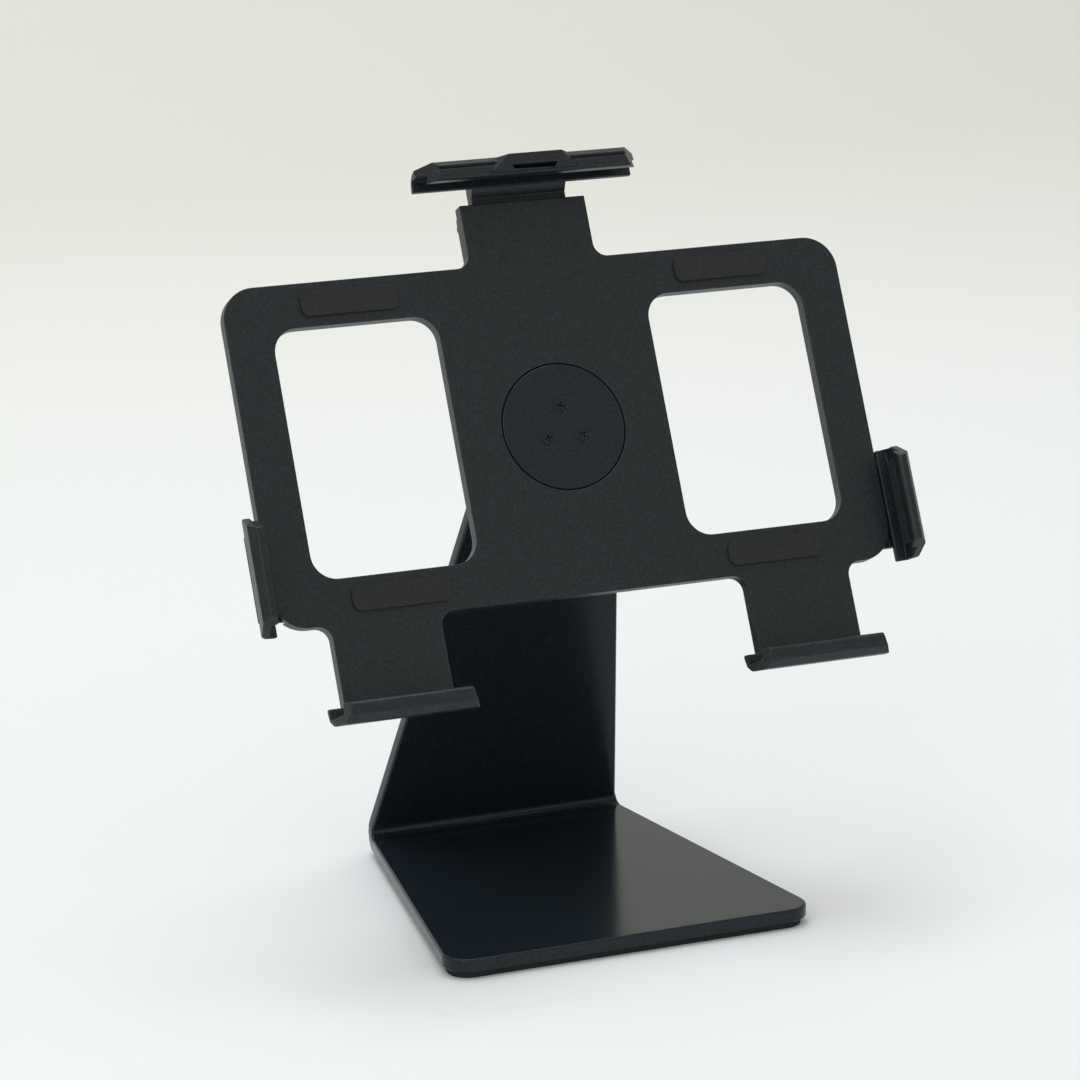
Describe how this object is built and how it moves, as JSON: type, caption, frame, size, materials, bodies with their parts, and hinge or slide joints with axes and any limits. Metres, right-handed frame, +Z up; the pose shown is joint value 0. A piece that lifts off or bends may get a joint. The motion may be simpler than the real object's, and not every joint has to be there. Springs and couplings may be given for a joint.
{
  "type": "tablet desk stand",
  "caption": "Bent steel desk stand with a tilting, swivelling holder frame that grips a tablet by its edges, with a sprung top clamp.",
  "frame": {"origin": "on the desk, under the middle of the overall box: the middle of the base's depth and width", "axes": "+X to the right of someone facing the screen side, +Y to the back, +Z up; the screen side faces -Y"},
  "size_m": [0.2504, 0.1445, 0.2732],
  "materials": {
    "powder_coat": "satin powder coat",
    "black_screw": "black oxide",
    "bare_steel": "zinc plated",
    "nylon": "natural nylon",
    "moulded_black": "fine satin texture",
    "soft_rubber": "matt"
  },
  "bodies": {
    "stand": {"stand_plate": "powder_coat", "base_pad": "soft_rubber", "hinge_leaf": "powder_coat", "leaf_screws": "black_screw", "hinge_pin": "bare_steel", "hinge_nut": "bare_steel", "disc_springs": "bare_steel", "knuckle_washers": "nylon"},
    "hub": {"swivel_hub": "powder_coat", "wear_ring": "nylon", "stop_pin": "bare_steel", "swivel_cap": "powder_coat", "cap_screws": "black_screw"},
    "holder": {"back_panel": "moulded_black", "support_pads": "soft_rubber", "bottom_grip_left": "moulded_black", "bottom_grip_right": "moulded_black", "side_grip_left": "moulded_black", "side_grip_right": "moulded_black", "bottom_liner_left": "soft_rubber", "bottom_liner_right": "soft_rubber", "side_liner_left": "soft_rubber", "side_liner_right": "soft_rubber", "grip_screws": "black_screw", "slide_cover": "moulded_black", "cover_screws": "black_screw", "clamp_spring": "bare_steel"},
    "clamp": {"top_grip": "moulded_black", "top_liner": "soft_rubber"}
  },
  "joints": [
    {"name": "tilt", "type": "hinge", "parent": "stand", "child": "hub", "pos_m": [0, 0.00017, 0.17263], "axis": [-1, 0, 0], "range_deg": [-26, 44]},
    {"name": "swivel", "type": "hinge", "parent": "hub", "child": "holder", "pos_m": [0, -0.02104, 0.18297], "axis": [0, -0.8988, 0.4384], "range_deg": [0, 90]},
    {"name": "clamp_slide", "type": "slide", "parent": "holder", "child": "clamp", "axis": [0, 0.4384, 0.8988], "range_m": [0, 0.012], "stiffness_N_per_m": 350, "springref_m": -0.02, "deforming": ["clamp_spring"]}
  ]
}
